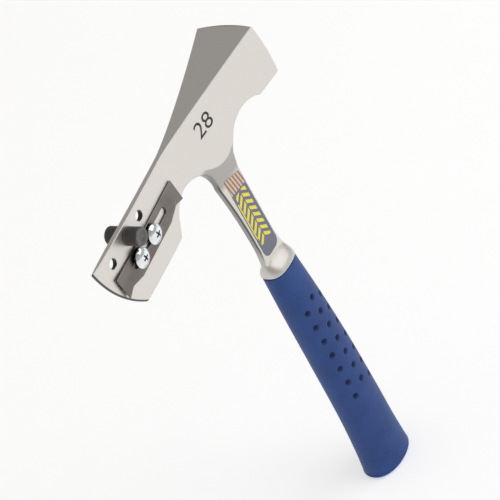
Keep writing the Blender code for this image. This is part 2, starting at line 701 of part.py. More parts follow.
def build_grip(guide):
    vinyl = material("blue_vinyl", (0.045, 0.10, 0.30), 0.55, 0.0)
    count, steps = 40, 26
    rings = []
    edge = GRIP_EDGE_RADIUS
    for step in range(4):
        turn = math.pi / 2 * step / 3
        half_width, half_thickness, shift = grip_size(1.0)
        back, rise = edge * (1 - math.sin(turn)), edge * (1 - math.cos(turn))
        size = (half_width - back, half_thickness - back)
        rings.append(oval(shift, GRIP_BUTT + rise, *size, GRIP_POWER, count))
    for step in range(1, steps):
        share = 1 - step / steps
        half_width, half_thickness, shift = grip_size(share)
        height = GRIP_TOP - share * GRIP_LENGTH
        if height > GRIP_BUTT + edge:
            rings.append(oval(shift, height, half_width, half_thickness, GRIP_POWER, count))
    half_width, half_thickness, shift = grip_size(0.0)
    size = (half_width - GRIP_RING_BEVEL, half_thickness - GRIP_RING_BEVEL)
    rings.append(oval(shift, GRIP_TOP - GRIP_RING_BEVEL, half_width, half_thickness, GRIP_POWER, count))
    rings.append(oval(shift, GRIP_TOP, *size, GRIP_POWER, count))
    grip = add_object("grip", lofted(rings), vinyl)

    bore_bottom = GRIP_BUTT + BUTT_WALL - GAP
    bore = (TANG_WIDTH / 2 + GAP, TANG_THICKNESS / 2 + GAP)
    pocket = lofted([oval(0, height, *bore, TANG_POWER, count)
                     for height in (bore_bottom, GRIP_TOP + COLLAR_HEIGHT)])
    cut(grip, add_object("tang_pocket_cutter", pocket, guide))

    ball = (DIMPLE_RADIUS ** 2 + DIMPLE_DEPTH ** 2) / (2 * DIMPLE_DEPTH)
    pits = bmesh.new()
    for face_turn in (0.0, math.pi):
        for row, turn in enumerate((-SIDE_ROW_ANGLE, 0.0, SIDE_ROW_ANGLE)):
            lower_by = DIMPLE_PITCH / 2 if row != 1 else 0.0
            for index in range(DIMPLES_PER_ROW):
                drop = DIMPLE_TOP + lower_by + DIMPLE_PITCH * index
                half_width, half_thickness, shift = grip_size(drop / GRIP_LENGTH)
                angle = face_turn + turn
                sine, cosine = math.sin(angle), -math.cos(angle)
                place = Vector((half_width * sine, half_thickness * cosine, 0))
                normal = Vector((sine / half_width, cosine / half_thickness, 0)).normalized()
                centre = place + normal * (ball - DIMPLE_DEPTH)
                centre += Vector((shift, 0, GRIP_TOP - drop))
                added = bmesh.ops.create_uvsphere(pits, u_segments=12, v_segments=8, radius=ball)
                for corner in added["verts"]:
                    corner.co += centre
    cut(grip, add_object("dimple_cutter", pits, guide))


# --- Gauge, cutter, screws and labels -----------------------------------------------------------

OUT_FROM_CHEEK = (math.radians(90), 0, 0)  # turns a piece's own +Z to face -Y


def build_gauge(head_frame):
    black = material("black_oxide_steel", (0.035, 0.035, 0.037), 0.5, 0.6)
    seat = PLATE_HALF + GAP
    tip = seat + KNOB_LENGTH
    radius, chamfer = KNOB_RADIUS, KNOB_CHAMFER
    along = HOLE_SETBACKS[1] - BLADE_REACH
    place = (along, 0, -HOLE_DEPTH)
    end = STUD_RECESS - tip
    dish = radius - KNOB_RIM
    screw = [(0, end), (STUD_RADIUS - EDGE_BREAK, end), (STUD_RADIUS, end + EDGE_BREAK),
             (STUD_RADIUS, seat), (radius - EDGE_BREAK, seat), (radius, seat + EDGE_BREAK),
             (radius, tip - chamfer), (radius - chamfer, tip), (dish, tip),
             (dish - DISH_WALL, tip - 0.6 * DISH_DEPTH), (0, tip - DISH_DEPTH)]
    add_object("gauge_screw", turned(screw, 32), black, head_frame, place, OUT_FROM_CHEEK)
    bore = STUD_RADIUS + GAP
    nut = [(bore, -seat), (bore, -tip), (radius - chamfer, -tip), (radius, -tip + chamfer),
           (radius, -seat - EDGE_BREAK), (radius - EDGE_BREAK, -seat)]
    add_object("gauge_nut", turned_ring(nut, 32), black, head_frame, place, OUT_FROM_CHEEK)


def build_cutter(head_frame):
    steel = material("dark_tool_steel", (0.17, 0.155, 0.145), 0.42, 1.0)
    half = CUTTER_LENGTH / 2
    notch, belly = half - CUTTER_NOTCH_SETBACK, half - CUTTER_BELLY_SETBACK
    right = [(Vector((belly, -CUTTER_BELLY_DEPTH)), BELLY_RADIUS),
             (Vector((notch, -CUTTER_NOTCH_DEPTH)), NOTCH_RADIUS),
             (Vector((half, -CUTTER_END_DEPTH)), EDGE_BREAK), (Vector((half, 0)), EDGE_BREAK)]
    left = [(Vector((-point.x, point.y)), radius) for point, radius in reversed(right)]
    outline = rounded(left + right)
    slot_half = (SCREW_SPACING + TRAVEL_OUT + TRAVEL_IN) / 2
    width = SLOT_HALF_WIDTH
    slot = arc((slot_half, -SLOT_TO_TOP), width, -math.pi / 2, math.pi / 2, 8)
    slot += arc((-slot_half, -SLOT_TO_TOP), width, math.pi / 2, 3 * math.pi / 2, 8)
    edge = CUTTER_THICKNESS / 4
    built = plate(outline, [slot], lambda point: CUTTER_THICKNESS / 2, lambda point: edge, 1)
    middle = (CUTTER_BACK + CUTTER_FRONT) / 2
    add_object("cutter_blade", built, steel, head_frame, (CUTTER_ALONG, -middle, -CUTTER_TOP_DEPTH))


def recess_arms():
    """The two crossing arms of a screw's recess, each a tapered solid."""
    arms = []
    for crosswise in (False, True):
        rings = []
        for share, height in ((0.45, 0.0), (1.15, RECESS_DEPTH + RECESS_SPILL)):
            reach, half = RECESS_REACH * share, RECESS_WIDTH / 2 * between(0.7, 1.0, share)
            ring = [(reach, half, height), (-reach, half, height),
                    (-reach, -half, height), (reach, -half, height)]
            rings.append([(-y, x, z) for x, y, z in ring] if crosswise else ring)
        arms.append(lofted(rings))
    return arms


def build_cutter_screws(head_frame, guide):
    zinc = material("zinc_plated_steel", (0.72, 0.74, 0.76), 0.22, 1.0)
    black = material("black_washer_steel", (0.02, 0.02, 0.02), 0.55, 0.5)
    radius, height = SCREW_HEAD_RADIUS, SCREW_HEAD_HEIGHT
    rise = height - SCREW_HEAD_RIM
    dome = (radius ** 2 + rise ** 2) / (2 * rise)
    steps = 7
    crown = []
    for step in range(steps + 1):
        reach = radius * (1 - step / steps)
        sink = dome - math.sqrt(dome ** 2 - reach ** 2)
        crown.append((reach, SCREW_SEAT + height - sink))
    tip = -PLATE_HALF
    shaft = [(0, tip), (SCREW_RADIUS - EDGE_BREAK, tip), (SCREW_RADIUS, tip + EDGE_BREAK),
             (SCREW_RADIUS, SCREW_SEAT), (radius - EDGE_BREAK, SCREW_SEAT),
             (radius, SCREW_SEAT + EDGE_BREAK)]
    ring = []
    for index in range(WASHER_TEETH * 4):
        turn = 2 * math.pi * (index + 0.5) / (WASHER_TEETH * 4)
        reach = WASHER_RADIUS if index % 4 in (0, 1) else WASHER_RADIUS - TOOTH_DEPTH
        ring.append(Vector((reach * math.cos(turn), reach * math.sin(turn))))
    hole = circle((0, 0), SLOT_HALF_WIDTH, 24)
    for name, along in (("front", FRONT_SCREW_ALONG), ("rear", REAR_SCREW_ALONG)):
        place = (along, 0, -SLOT_DEPTH)
        screw = add_object(f"cutter_screw_{name}", turned(shaft + crown, 32), zinc,
                           head_frame, place, OUT_FROM_CHEEK)
        recess_floor = SCREW_SEAT + height - RECESS_DEPTH
        for arm, part in enumerate(recess_arms()):
            cutter = add_object(f"recess_{name}_{arm}", part, guide, head_frame,
                                (along, -recess_floor, -SLOT_DEPTH), OUT_FROM_CHEEK)
            cut(screw, cutter)
        washer = plate(ring, [hole], lambda point: WASHER_THICKNESS / 2, lambda point: 0.0)
        add_object(f"lock_washer_{name}", washer, black, head_frame,
                   (along, -(WASHER_FRONT - WASHER_THICKNESS / 2), -SLOT_DEPTH))


def build_labels():
    blue_grey = material("label_film", (0.13, 0.14, 0.20), 0.45, 0.2)
    low, half = COLLAR_TOP - COLLAR_FLAT, LABEL_WIDTH / 2
    high = [shoulder(x) - LABEL_TO_SHOULDER for x in (half, -half)]
    corners = [(Vector((-half, low)), LABEL_END_RADIUS), (Vector((half, low)), LABEL_END_RADIUS),
               (Vector((half, high[0])), LABEL_CORNER_RADIUS),
               (Vector((-half, high[1])), LABEL_CORNER_RADIUS)]
    stand_off = SHANK_HALF + GAP + LABEL_THICKNESS / 2
    for name, side in (("near", -1), ("far", 1)):
        film = plate(rounded(corners), [], lambda point: LABEL_THICKNESS / 2, lambda point: 0.0)
        add_object(f"shank_label_{name}", film, blue_grey, None, (0, side * stand_off, 0))


def build():
    clear_scene()
    guide = material("cutting_guide", (0.9, 0.3, 0.2), 0.5, 0.0)
    head_frame = add_empty("head_frame", (0, 0, HEAD_TOP), (0, -HEAD_TILT, 0))
    build_forging(head_frame, guide)
    build_grip(guide)
    build_gauge(head_frame)
    build_cutter(head_frame)
    build_cutter_screws(head_frame, guide)
    build_labels()


build()
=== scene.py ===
# %% [markdown]
# # A roofing hatchet, dressed
# The tool is a one-piece steel forging: blade, hammer poll and shank in one, with a vinyl grip
# moulded over its tang. On the blade sit a shingle gauge, which is a knurled screw and nut, and a
# small shingle cutter held by two screws. The solid parts come first, from a fixed frame, and this
# notebook gives each of them its finished surface. Nothing in the frame is moved.

# %% Load the frame
import json
import math

import bmesh
import bpy
from mathutils import Matrix, Vector
from mathutils.bvhtree import BVHTree


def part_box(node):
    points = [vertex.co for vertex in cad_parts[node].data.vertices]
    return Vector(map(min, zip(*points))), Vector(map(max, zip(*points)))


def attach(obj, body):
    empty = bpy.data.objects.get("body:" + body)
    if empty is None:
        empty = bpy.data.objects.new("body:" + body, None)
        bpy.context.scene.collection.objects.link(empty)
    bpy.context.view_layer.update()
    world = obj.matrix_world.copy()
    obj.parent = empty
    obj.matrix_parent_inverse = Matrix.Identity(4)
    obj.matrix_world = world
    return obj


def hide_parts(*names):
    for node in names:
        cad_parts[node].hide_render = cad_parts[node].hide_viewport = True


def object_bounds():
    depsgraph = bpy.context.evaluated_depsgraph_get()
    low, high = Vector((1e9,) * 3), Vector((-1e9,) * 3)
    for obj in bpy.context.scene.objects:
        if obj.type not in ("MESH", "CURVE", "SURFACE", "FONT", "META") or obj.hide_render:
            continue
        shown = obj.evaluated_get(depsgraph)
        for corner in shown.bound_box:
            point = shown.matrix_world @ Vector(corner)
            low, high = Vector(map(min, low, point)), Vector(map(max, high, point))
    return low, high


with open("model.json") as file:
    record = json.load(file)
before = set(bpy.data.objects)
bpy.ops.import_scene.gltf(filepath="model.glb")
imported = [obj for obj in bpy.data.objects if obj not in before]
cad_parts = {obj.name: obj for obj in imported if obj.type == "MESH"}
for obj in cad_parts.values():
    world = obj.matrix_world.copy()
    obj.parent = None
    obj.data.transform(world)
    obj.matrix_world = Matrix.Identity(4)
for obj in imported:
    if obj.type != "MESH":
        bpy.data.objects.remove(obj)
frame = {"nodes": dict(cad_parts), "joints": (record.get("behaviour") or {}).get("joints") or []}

cad_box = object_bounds()

# %% [markdown]
# ## Places
# The head lies a little uphill on the handle, so most of its details are easier to place in the
# head's own directions: "along" runs toward the striking face and "up" toward the head's top line.
# Both come from the frame: the cutter slides along the head, and the joints mark the screw axes.

# %% Directions and places on the head
MM = 0.001
joints = {joint["name"]: joint for joint in frame["joints"]}
ALONG = Vector(joints["cutter_slide"]["axis"]).normalized()
UP = Vector((-ALONG.z, 0, ALONG.x))
GAUGE_PLACE = Vector(joints["gauge_screw_turn"]["pos_m"])
SCREW_PLACES = {end: Vector(joints[f"{end}_screw_turn"]["pos_m"]) for end in ("front", "rear")}
HOLE_DEPTH = 9.6 * MM  # the head's top line down to the gauge screw
top_point = GAUGE_PLACE + UP * HOLE_DEPTH
HEAD_ORIGIN = top_point - ALONG * (top_point.x / ALONG.x)
OUTWARD = Matrix.Rotation(math.radians(90), 4, "X")  # turns a piece's own +Z to face out of the cheek


def on_head(along, up, y=0.0):
    """World place of a point given along and up on the head."""
    return HEAD_ORIGIN + ALONG * along + UP * up + Vector((0, y, 0))


print("head's top line crosses the handle at z =", round(HEAD_ORIGIN.z, 4), "m")

# %% [markdown]
# ## Shader arithmetic
# A finish is a small graph of nodes. Written as nodes, even 1 - mask takes three lines, so the next
# cell wraps a socket in a class whose operators add the Math nodes. The Finish class holds one
# material and has one method that makes any other node.

# %% Sockets that do arithmetic
class Wire:
    """An output socket that takes part in Python expressions."""

    def __init__(self, finish, socket):
        self.finish = finish
        self.socket = socket

    def math(self, operation, first, second=0.0):
        return self.finish.node("ShaderNodeMath", {"operation": operation}, {0: first, 1: second})

    def __add__(self, other):
        return self.math("ADD", self, other)

    def __radd__(self, other):
        return self.math("ADD", other, self)

    def __sub__(self, other):
        return self.math("SUBTRACT", self, other)

    def __rsub__(self, other):
        return self.math("SUBTRACT", other, self)

    def __mul__(self, other):
        return self.math("MULTIPLY", self, other)

    def __rmul__(self, other):
        return self.math("MULTIPLY", other, self)

    def __truediv__(self, other):
        return self.math("DIVIDE", self, other)

    def __abs__(self):
        return self.math("ABSOLUTE", self)

    def fraction(self):
        return self.math("FRACT", self)

    def above(self, level):
        return self.math("GREATER_THAN", self, level)

    def below(self, level):
        return self.math("LESS_THAN", self, level)

    def rise(self, low, high):
        """0 up to low, 1 from high, and a smooth ramp between them."""
        settings = {"interpolation_type": "SMOOTHSTEP"}
        sockets = {"Value": self, "From Min": low, "From Max": high}
        return self.finish.node("ShaderNodeMapRange", settings, sockets)


print("sockets can be added, subtracted, multiplied, divided and compared")

# %% A material under construction
class Finish:
    """A procedural material under construction."""

    def __init__(self, name, **constants):
        self.material = bpy.data.materials.new(name)
        self.material.use_nodes = True
        self.tree = self.material.node_tree
        self.shader = self.tree.nodes["Principled BSDF"]
        self.set(**constants)
        self.place = self.node("ShaderNodeTexCoord", output="Object")

    def plug(self, socket, value):
        if isinstance(value, Wire):
            self.tree.links.new(value.socket, socket)
        elif socket.type == "RGBA":
            socket.default_value = (*value, 1.0)
        else:
            socket.default_value = value

    def node(self, kind, settings=None, sockets=None, output=0):
        made = self.tree.nodes.new(kind)
        for name, value in (settings or {}).items():
            setattr(made, name, value)
        for name, value in (sockets or {}).items():
            self.plug(made.inputs[name], value)
        return Wire(self, made.outputs[output])

    def stretched(self, x, y, z):
        """The place with each axis scaled, so that a pattern comes out finer or longer along it."""
        return self.node("ShaderNodeVectorMath", {"operation": "MULTIPLY"}, {0: self.place, 1: (x, y, z)})

    def across(self, direction, origin=(0, 0, 0)):
        """Distance from the origin along a direction."""
        moved = self.node("ShaderNodeVectorMath", {"operation": "SUBTRACT"}, {0: self.place, 1: origin})
        sockets = {0: moved, 1: direction}
        return self.node("ShaderNodeVectorMath", {"operation": "DOT_PRODUCT"}, sockets, "Value")

    def noise(self, where, scale, detail=3.0, roughness=0.55):
        sockets = {"Vector": where, "Scale": scale, "Detail": detail, "Roughness": roughness}
        return self.node("ShaderNodeTexNoise", None, sockets, "Fac")

    def mix(self, share, first, second):
        """The first colour where share is 0, the second where it is 1."""
        sockets = {0: share, 6: first, 7: second}
        return self.node("ShaderNodeMix", {"data_type": "RGBA"}, sockets, 2)

    def set(self, **sockets):
        for name, value in sockets.items():
            self.plug(self.shader.inputs[name.replace("_", " ").title()], value)

    def bump(self, height, depth, strength=1.0):
        """Relief: height runs from 0 to 1 and depth is in metres."""
        sockets = {"Height": height, "Distance": depth, "Strength": strength}
        self.set(normal=self.node("ShaderNodeBump", None, sockets))


print("finishes can be mixed and bumped")

# %% [markdown]
# ## Ground steel
# The whole head is polished on a belt, which leaves fine lines that run along the head. Metal this
# smooth shows mostly what surrounds it, so its colour stays close to one value and the lines live in
# the roughness and in a very shallow relief. The striking face is duller. The other dark places are
# painted: painted shade darkens the hollows, the neck below the ground tongue and the walls of the
# gauge holes, and a dark painted reflection lines the shank's rounded corners and the cutting edge.
# Each of these places is a mask worked out from the place on the head and from how far the surface
# turns away from the cheek: an image could be painted instead, but it would blur at the edges and need
# unwrapping.

# %% Masks: a dark painted reflection along the cutting edge
BLADE_REACH = 137.3 * MM
BLADE_DEPTH = 51.3 * MM
BLADE_SWEEP = 20.8 * MM
EDGE_BULGE = 4.7 * MM
EDGE_LINE_BAND = 1.5 * MM


def edge_circle():
    """Centre and radius of the arc that the cutting edge follows."""
    top, low = on_head(-BLADE_REACH, 0), on_head(BLADE_SWEEP - BLADE_REACH, -BLADE_DEPTH)
    chord = top - low
    radius = (chord.length_squared / 4 + EDGE_BULGE ** 2) / (2 * EDGE_BULGE)
    inward = Vector((chord.z, 0, -chord.x)).normalized()
    return (top + low) / 2 + inward * (radius - EDGE_BULGE), radius


def painted_edge_reflection(steel, along):
    """A dark painted reflection: a narrow band inside the arc of the cutting edge."""
    centre, radius = edge_circle()
    sockets = {0: steel.stretched(1, 0, 1), 1: (centre.x, 0, centre.z)}
    reach = steel.node("ShaderNodeVectorMath", {"operation": "DISTANCE"}, sockets, "Value")
    return reach.rise(radius - EDGE_LINE_BAND, radius - 0.6 * EDGE_LINE_BAND) * (0 - along).rise(80 * MM, 100 * MM)


print("cutting edge: an arc of radius", round(edge_circle()[1] / MM, 1), "mm")

# %% Masks: painted shade and dark painted reflections
TONGUE_MIDDLE = -6 * MM
TONGUE_HALF_WIDTH = 16 * MM
TONGUE_TIP = -48 * MM
TONGUE_ROUND = 8 * MM
HOLE_BAND = ((-126 * MM, -76 * MM), (-13.7 * MM, -5.5 * MM))  # along and up, round all the gauge holes


def hollow_wall_shade(narrow, along, up, above_collar):
    """Painted shade on the walls of the two hollows and the shank's edges, but hardly the collar."""
    walls = narrow.rise(0.04, 0.5) * (0 - up).rise(33 * MM, 42 * MM) * along.rise(-64 * MM, -56 * MM)
    return walls * (0.2 + 0.8 * above_collar)


def neck(height, along, up):
    """Painted shade on the neck, below the curved line at which the cheek's ground tongue ends."""
    from_middle = (along - TONGUE_MIDDLE) / TONGUE_HALF_WIDTH
    tongue_end = TONGUE_ROUND * from_middle * from_middle + TONGUE_TIP
    below = (tongue_end - up).rise(-0.3 * MM, 0.9 * MM) * height.rise(168 * MM, 174 * MM)
    below = below * (0 - up).rise(37 * MM, 41 * MM) * along.rise(-36 * MM, -28 * MM)
    return below * (1 - along.rise(20 * MM, 26 * MM))


def shank_corner_reflection(narrow, up, above_collar):
    """A dark painted reflection where the shank's skin is neither flat nor edge."""
    rounded = narrow.rise(0.08, 0.3) * (1 - narrow.rise(0.5, 0.85))
    return rounded * above_collar * (0 - up).rise(54 * MM, 62 * MM)


# Painted shade on the walls of the gauge holes.
def hole_wall_shade(narrow, along, up):
    (rear, front), (low, high) = HOLE_BAND
    return narrow.above(0.5) * (up.below(high) * up.above(low) * along.above(rear) * along.below(front))


print("ground tongue ends", round(-TONGUE_TIP / MM, 1), "mm below the head's top line")

# %% Finish: ground and polished steel
POLL_REACH = 63.9 * MM
# The grey of the painted shade on the hollows and the neck.
PAINTED_SHADE_GREY = (0.24, 0.235, 0.23)


def ground_steel():
    steel = Finish("ground_steel", metallic=0.88)
    along, up = steel.across(ALONG, HEAD_ORIGIN), steel.across(UP, HEAD_ORIGIN)
    height = steel.across((0, 0, 1))
    line_place = steel.node("ShaderNodeCombineXYZ", None, {"X": along * 18, "Y": up * 900, "Z": up * 0})
    lines = steel.noise(line_place, 1.0, 2.0)
    cloud = steel.noise(steel.place, 45.0, 2.0)
    speck = steel.noise(steel.place, 700.0, 2.0)
    normal = steel.node("ShaderNodeNewGeometry", output="Normal")
    narrow = 1 - abs(steel.node("ShaderNodeSeparateXYZ", None, {0: normal}, "Y"))
    above_collar = height.rise(100 * MM, 120 * MM)
    face = along.rise(POLL_REACH - 3.2 * MM, POLL_REACH - 2.2 * MM)

    tone = 0.06 * (lines - 0.5) + 0.05 * (cloud - 0.5) + 0.5
    body = steel.mix(tone, (0.63, 0.60, 0.565), (0.82, 0.79, 0.75))
    body = steel.mix(face * 0.55, body, (0.42, 0.41, 0.40))
    # Painted shade on the hollows' walls and the shank's edges.
    body = steel.mix(hollow_wall_shade(narrow, along, up, above_collar) * 0.8, body, PAINTED_SHADE_GREY)
    # Painted shade on the neck below the ground tongue.
    body = steel.mix(neck(height, along, up) * 0.6, body, PAINTED_SHADE_GREY)
    # A dark painted reflection along the shank's rounded corners.
    body = steel.mix(shank_corner_reflection(narrow, up, above_collar) * 0.8, body, (0.03, 0.03, 0.03))
    # Painted shade on the walls of the gauge holes.
    body = steel.mix(hole_wall_shade(narrow, along, up), body, (0.05, 0.05, 0.05))
    # A dark painted reflection along the cutting edge.
    steel.set(base_color=steel.mix(painted_edge_reflection(steel, along), body, (0.10, 0.105, 0.115)))
    steel.set(roughness=0.38 + 0.08 * (lines - 0.5) + 0.05 * (cloud - 0.5) + 0.10 * face)
    steel.bump(0.7 * lines + 0.3 * speck, 0.003 * MM, 0.5)
    return steel.material


GROUND_STEEL = ground_steel()
print("finish:", GROUND_STEEL.name)

# %% [markdown]
# ## Welding the head
# The frame's solids are made of loose triangles, which shade as flat facets. A finer head could be
# lofted again from its outline, but the solid already has every rounded edge. So its triangles are
# welded into one skin, edges sharper than a limit are kept crisp, and a Weighted Normal modifier
# lets the broad flat cheeks decide how the light rolls over the narrow rounded edges.

# %% Helpers that turn meshes into pieces
WELD = 0.001 * MM


def welded(node):
    """A frame part's triangles as one connected mesh."""
    source = frame["nodes"][node].data
    built = bmesh.new()
    corners = [built.verts.new(corner.co) for corner in source.vertices]
    for face in source.polygons:
        built.faces.new([corners[index] for index in face.vertices])
    bmesh.ops.remove_doubles(built, verts=built.verts, dist=WELD)
    return built


def add_piece(name, built, finishes, body, replaces=(), place=Matrix.Identity(4), crease=30):
    """Turns a bmesh into a shaded piece that rides on a body."""
    mesh = bpy.data.meshes.new(name)
    bmesh.ops.recalc_face_normals(built, faces=built.faces)
    built.to_mesh(mesh)
    built.free()
    for finish in finishes:
        mesh.materials.append(finish)
    mesh.shade_smooth()
    mesh.set_sharp_from_angle(angle=math.radians(crease))
    piece = bpy.data.objects.new(name, mesh)
    bpy.context.scene.collection.objects.link(piece)
    piece.matrix_world = place
    weighted = piece.modifiers.new("flat_faces_lead", "WEIGHTED_NORMAL")
    weighted.keep_sharp = True
    weighted.weight = 80
    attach(piece, body)
    if replaces:
        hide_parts(*replaces)
    print(f"{name}: {len(mesh.polygons)} faces, rides on {body}")
    return piece


head = add_piece("head_and_shank", welded("head_forging"), [GROUND_STEEL], "hatchet",
                 ["head_forging"], crease=35)

# %% [markdown]
# ## Weight mark
# The head's weight is etched into the cheek as two plain numerals. Etching has no depth that could be
# seen, so the numerals are a flat skin that stands two hundredths of a millimetre off the steel. A Text
# object gives the outlines. The cheek is slightly hollow there, so each point is dropped onto it by a ray.

# %% Numerals on the cheek
CHEEK_SKIN = 0.02 * MM
MARK_PLACE = (-13.9 * MM, -22.2 * MM)
MARK_SIZE = 16.6 * MM
MARK_THINNING = 0.02 * MM
RAY_START = -100 * MM


def etched():
    finish = Finish("etched_grey", metallic=0.4, roughness=0.6)
    grain = finish.noise(finish.place, 1500.0)
    finish.set(base_color=finish.mix(grain.rise(0.3, 0.7), (0.03, 0.03, 0.029), (0.07, 0.068, 0.064)))
    return finish.material


def text_mesh(text):
    """A text's filled outline as a bmesh in its own X, Y plane."""
    letters = bpy.data.curves.new("weight_mark", "FONT")
    letters.body = text
    letters.size = MARK_SIZE
    letters.offset = -MARK_THINNING
    letters.resolution_u = 6
    carrier = bpy.data.objects.new("weight_mark", letters)
    bpy.context.scene.collection.objects.link(carrier)
    flat = bpy.data.meshes.new_from_object(carrier.evaluated_get(bpy.context.evaluated_depsgraph_get()))
    bpy.data.objects.remove(carrier)
    built = bmesh.new()
    built.from_mesh(flat)
    return built


def drop_on(built, target, place_of):
    """Moves each point along +Y until it meets the target, and leaves it just proud of that."""
    skin = BVHTree.FromObject(target, bpy.context.evaluated_depsgraph_get())
    for corner in built.verts:
        start = place_of(corner.co.x, corner.co.y)
        hit = skin.ray_cast(Vector((start.x, RAY_START, start.z)), Vector((0, 1, 0)))[0]
        corner.co = hit - Vector((0, CHEEK_SKIN, 0))


numerals = text_mesh("28")
bmesh.ops.subdivide_edges(numerals, edges=numerals.edges, cuts=1)
bmesh.ops.triangulate(numerals, faces=numerals.faces)
drop_on(numerals, head, lambda x, y: on_head(MARK_PLACE[0] + x, MARK_PLACE[1] + y))
add_piece("weight_numerals", numerals, [etched()], "hatchet")

# %% [markdown]
# ## Grip
# The grip is vinyl moulded over the tang: an oval that swells toward the butt, with three rows of
# round dimples on each side and a fine pebbled surface. The dimples are deep enough to catch light,
# so they are real hollows. A fine lattice of rings around the grip is the simplest mesh that can hold
# them: each point is pressed inward by how close it lies to a dimple. How deep it went is kept in the
# mesh as a number called "hollow", and the finish reads it to darken the dimples with painted shade.
# The pebbles are only a fraction of a millimetre high, which is work for a Bump node.

# %% Finish: pebbled blue vinyl
def pebbled_vinyl():
    vinyl = Finish("pebbled_blue_vinyl", metallic=0.0)
    pebbles = vinyl.node("ShaderNodeTexVoronoi", {"feature": "SMOOTH_F1"},
                         {"Vector": vinyl.place, "Scale": 1050.0}, "Distance")
    grain = vinyl.noise(vinyl.place, 2400.0, 2.0)
    cloud = vinyl.noise(vinyl.place, 60.0, 3.0)
    hollow = vinyl.node("ShaderNodeAttribute", {"attribute_name": "hollow"}, output="Fac")
    tone = (0.4 * cloud + 0.6 * grain).rise(0.25, 0.75)
    vinyl.shader.inputs["Specular IOR Level"].default_value = 0.3
    skin = vinyl.mix(tone, (0.010, 0.040, 0.175), (0.030, 0.090, 0.320))
    # The dimples' darker colour is painted shade.
    vinyl.set(base_color=vinyl.mix(hollow * 0.85, skin, (0.006, 0.012, 0.040)))
    vinyl.set(roughness=0.42 + 0.14 * cloud + 0.3 * hollow)
    vinyl.bump((1 - pebbles) * 0.75 + 0.25 * grain, 0.2 * MM, 0.8)
    return vinyl.material


VINYL = pebbled_vinyl()
print("finish:", VINYL.name)

# %% Grip: an oval at each level
grip_low, grip_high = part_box("grip")
GRIP_LENGTH = grip_high.z - grip_low.z
GRIP_POWER = 2.15  # a power of 2 is a true ellipse
# Stations down from the top: share of the length, width, thickness, shift toward the striking face
GRIP_STATIONS = (
    (0.00, 29.0 * MM, 21.0 * MM, 0.0),
    (0.20, 32.4 * MM, 24.2 * MM, 1.2 * MM),
    (0.44, 35.0 * MM, 26.4 * MM, 2.2 * MM),
    (0.70, 36.6 * MM, 27.6 * MM, 2.2 * MM),
    (0.87, 38.6 * MM, 28.6 * MM, 1.2 * MM),
    (1.00, 42.2 * MM, 30.4 * MM, 0.3 * MM),
)


def grip_size(share):
    """Half width, half thickness and shift at a share of the grip's length from its top."""
    stations = GRIP_STATIONS
    last = len(stations) - 1
    index = next(i for i in range(last) if share <= stations[i + 1][0] + 1e-9)
    upper, lower = stations[index], stations[index + 1]
    before, after = stations[max(index - 1, 0)], stations[min(index + 2, last)]
    span = lower[0] - upper[0]
    t = (share - upper[0]) / span
    sizes = []
    for part in (1, 2, 3):
        slope_in = (lower[part] - before[part]) / (lower[0] - before[0]) * span
        slope_out = (after[part] - upper[part]) / (after[0] - upper[0]) * span
        ends = (2 * t ** 3 - 3 * t ** 2 + 1) * upper[part] + (3 * t ** 2 - 2 * t ** 3) * lower[part]
        sizes.append(ends + (t ** 3 - 2 * t ** 2 + t) * slope_in + (t ** 3 - t ** 2) * slope_out)
    return sizes[0] / 2, sizes[1] / 2, sizes[2]


def oval_point(turn, half_width, half_thickness, power):
    cosine, sine = math.cos(turn), math.sin(turn)
    x = half_width * math.copysign(abs(cosine) ** (2 / power), cosine)
    y = half_thickness * math.copysign(abs(sine) ** (2 / power), sine)
    return x, y


print("grip:", round(GRIP_LENGTH / MM, 1), "mm long, an oval of power", GRIP_POWER)

# %% Grip: dimples
DIMPLE_RADIUS = 2.6 * MM
DIMPLE_DEPTH = 1.1 * MM
DIMPLE_PITCH = 13.0 * MM
DIMPLES_PER_ROW = 7
DIMPLE_TOP = 30.2 * MM
SIDE_ROW_ANGLE = math.radians(36)
DIMPLE_FLOOR = 0.5  # share of the radius that is flat at the bottom
SKIN_LEAN = 1.3  # the oval's sides lean toward its flat faces, and a dimple is pressed square to the skin
GRIP_MIDDLE = 1.5 * MM


def dimple_places():
    """Centres of all the dimples on the grip's skin."""
    places = []
    for face_turn in (0.0, math.pi):
        for row_turn in (-SIDE_ROW_ANGLE, 0.0, SIDE_ROW_ANGLE):
            lower_by = 0.0 if row_turn == 0.0 else DIMPLE_PITCH / 2
            for index in range(DIMPLES_PER_ROW):
                drop = DIMPLE_TOP + lower_by + DIMPLE_PITCH * index
                half_width, half_thickness, shift = grip_size(drop / GRIP_LENGTH)
                angle = face_turn + row_turn
                x, y = half_width * math.sin(angle), -half_thickness * math.cos(angle)
                places.append(Vector((x + shift, y, grip_high.z - drop)))
    return places


def press_dimples(corners, depth):
    """Presses the lattice inward around each dimple and notes how deep, for the finish to use."""
    places = dimple_places()
    for corner in corners:
        for place in places:
            reach = (corner.co - place).length / DIMPLE_RADIUS
            if reach < 1:
                hollow = min(1.0, (1 - reach) / (1 - DIMPLE_FLOOR))
                hollow = hollow * hollow * (3 - 2 * hollow)
                inward = Vector((place.x - GRIP_MIDDLE, place.y * SKIN_LEAN, 0)).normalized()
                corner.co -= inward * DIMPLE_DEPTH * hollow
                corner[depth] = hollow
                break


print("grip:", len(dimple_places()), "dimples")

# %% Grip: the lattice
GRIP_EDGE = 3.0 * MM
AROUND = 180
ROWS = 280
LIP = 0.6 * MM
LIP_CLEAR = 0.7 * MM
BORE = (8.3 * MM, 3.3 * MM)
BORE_POWER = 4
BORE_FLOOR = 9.7 * MM


def connect(built, rings):
    """Faces between rings of corners, and a cap on the first and the last ring."""
    for low, high in zip(rings, rings[1:]):
        for index in range(len(low)):
            following = (index + 1) % len(low)
            built.faces.new((low[index], low[following], high[following], high[index]))
    built.faces.new(rings[0])
    built.faces.new(rings[-1])


